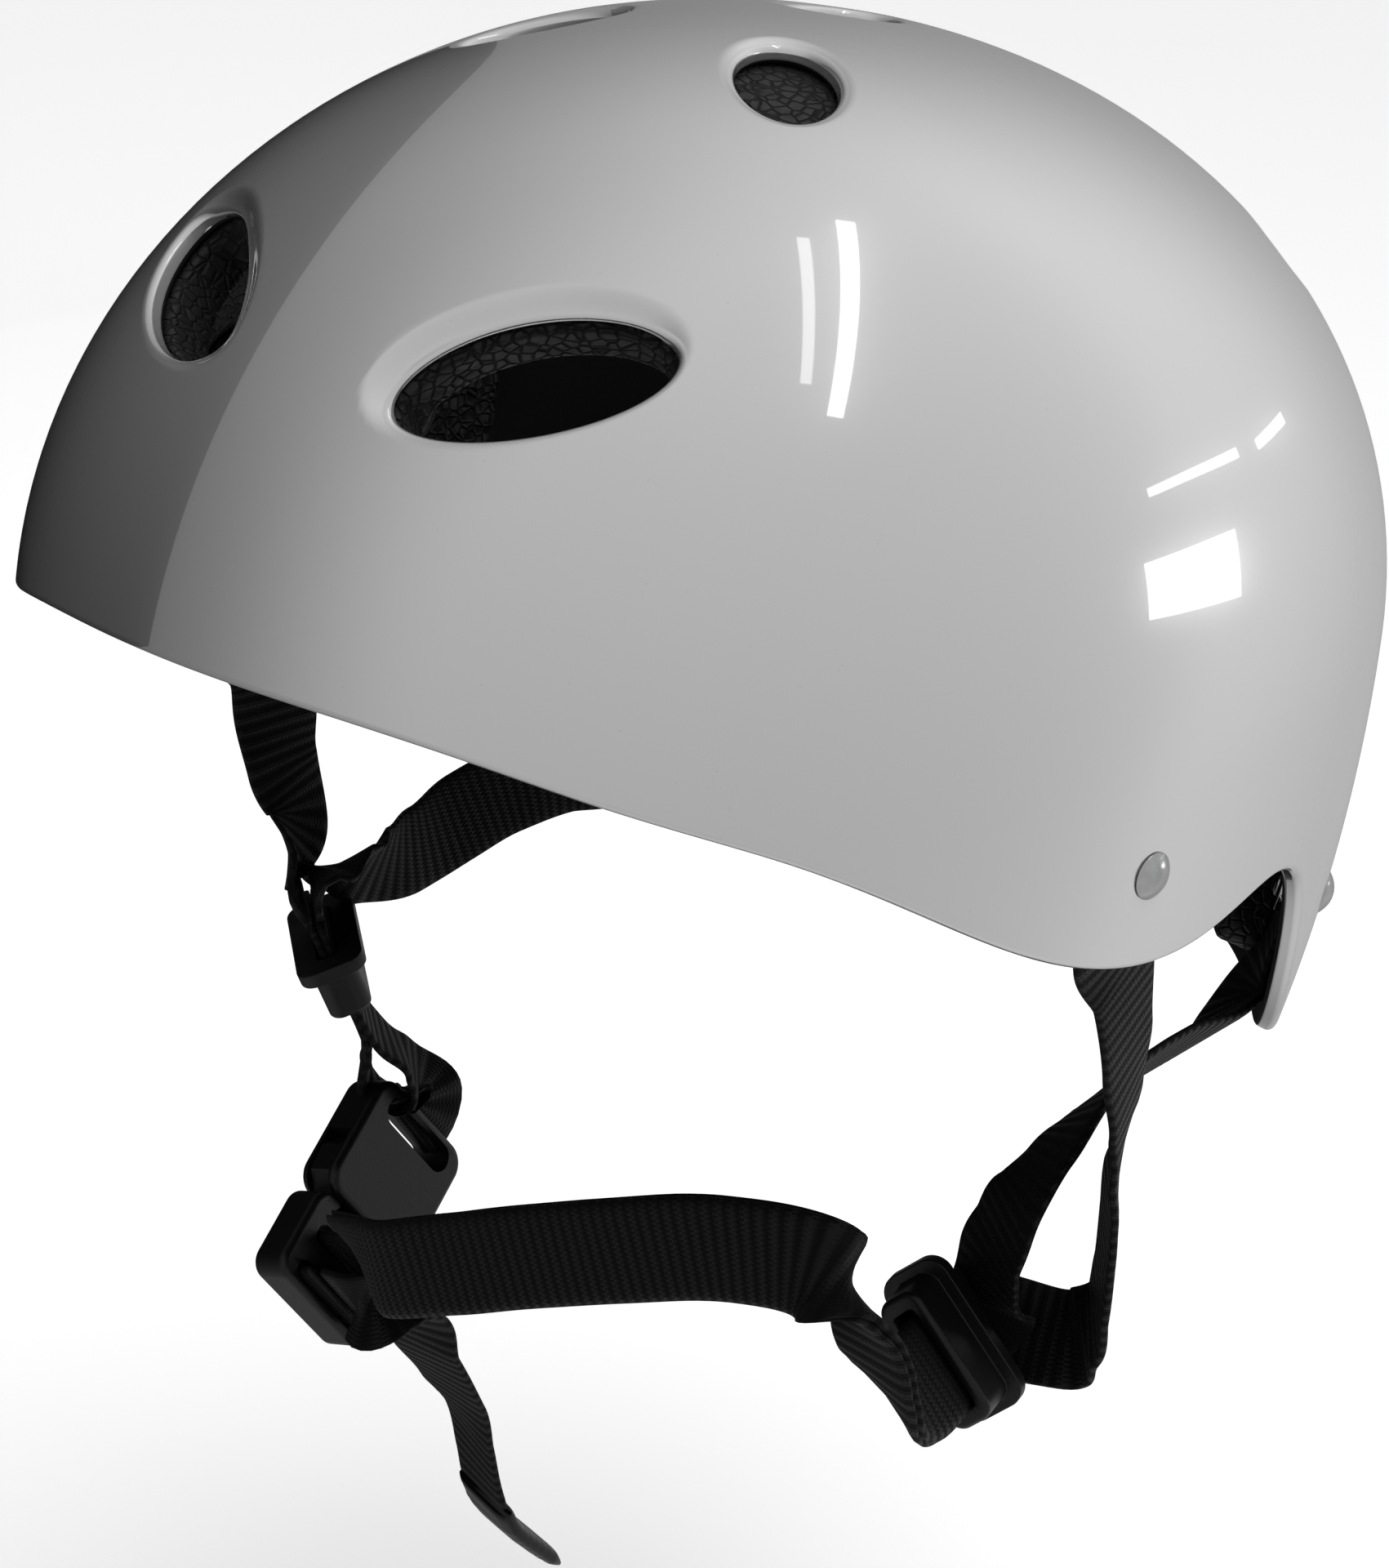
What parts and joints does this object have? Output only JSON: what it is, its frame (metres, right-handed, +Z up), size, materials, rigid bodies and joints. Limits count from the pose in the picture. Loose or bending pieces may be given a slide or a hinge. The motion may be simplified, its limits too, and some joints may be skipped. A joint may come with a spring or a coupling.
{
  "type": "water sports helmet",
  "caption": "Hard-shell water sports helmet with vented dome, foam liner, comfort pads, webbing harness with strap dividers and a side-release buckle.",
  "frame": {"origin": "centre of the head space, level with the widest part of the shell, where a head form holds it", "axes": "+Z up through the crown, -Y towards the brow, +X towards the wearer's left ear"},
  "size_m": [0.2286, 0.2797, 0.3433],
  "materials": {
    "shell_gloss": "glossy moulded ABS, light grey-white",
    "eva_foam": "closed-cell foam with a fine cell texture",
    "pad_fabric": "brushed knit over soft foam",
    "rivet_steel": "polished stainless steel",
    "webbing": "ribbed flat nylon webbing",
    "buckle_acetal": "moulded acetal, slight sheen",
    "tip_plastic": "smooth moulded strap end"
  },
  "bodies": {
    "helmet": {"shell": "shell_gloss", "liner_crown": "eva_foam", "liner_front": "eva_foam", "liner_rear": "eva_foam", "liner_left": "eva_foam", "liner_right": "eva_foam", "brow_pad": "pad_fabric", "side_pad_left": "pad_fabric", "side_pad_right": "pad_fabric", "nape_pad": "pad_fabric", "crown_pad": "pad_fabric", "rivets_front": "rivet_steel", "rivets_rear": "rivet_steel", "rivet_washers": "rivet_steel", "strap_front_left": "webbing", "strap_front_right": "webbing", "strap_rear_left": "webbing", "strap_rear_right": "webbing", "chin_strap": "webbing", "buckle_strap_outer": "webbing", "buckle_strap_inner": "webbing", "buckle_socket": "buckle_acetal"},
    "divider_slide_left": {"divider_left": "buckle_acetal"},
    "divider_slide_right": {"divider_right": "buckle_acetal"},
    "plug": {"buckle_plug": "buckle_acetal", "strap_wrap": "webbing", "strap_tail": "webbing", "tail_tip": "tip_plastic"},
    "prong_top": {"prong_upper": "buckle_acetal"},
    "prong_bottom": {"prong_lower": "buckle_acetal"}
  },
  "joints": [
    {"name": "left_divider_slide", "type": "slide", "parent": "helmet", "child": "divider_slide_left", "axis": [0.2998, -0.9525, 0.054], "range_m": [0, 0.008]},
    {"name": "right_divider_slide", "type": "slide", "parent": "helmet", "child": "divider_slide_right", "axis": [0.21, 0.37, -0.905], "range_m": [0, 0.006]},
    {"name": "buckle_release", "type": "slide", "parent": "helmet", "child": "plug", "axis": [0.202, -0.8062, -0.5561], "range_m": [0, 0.018]},
    {"name": "prong_upper_squeeze", "type": "hinge", "parent": "plug", "child": "prong_top", "pos_m": [-0.0712, -0.01495, -0.14255], "axis": [-0.951, -0.0258, -0.308], "range_deg": [0, 7], "stiffness_Nm_per_rad": 0.4},
    {"name": "prong_lower_squeeze", "type": "hinge", "parent": "plug", "child": "prong_bottom", "pos_m": [-0.06699, -0.00431, -0.15645], "axis": [0.951, 0.0258, 0.308], "range_deg": [0, 7], "stiffness_Nm_per_rad": 0.4}
  ]
}
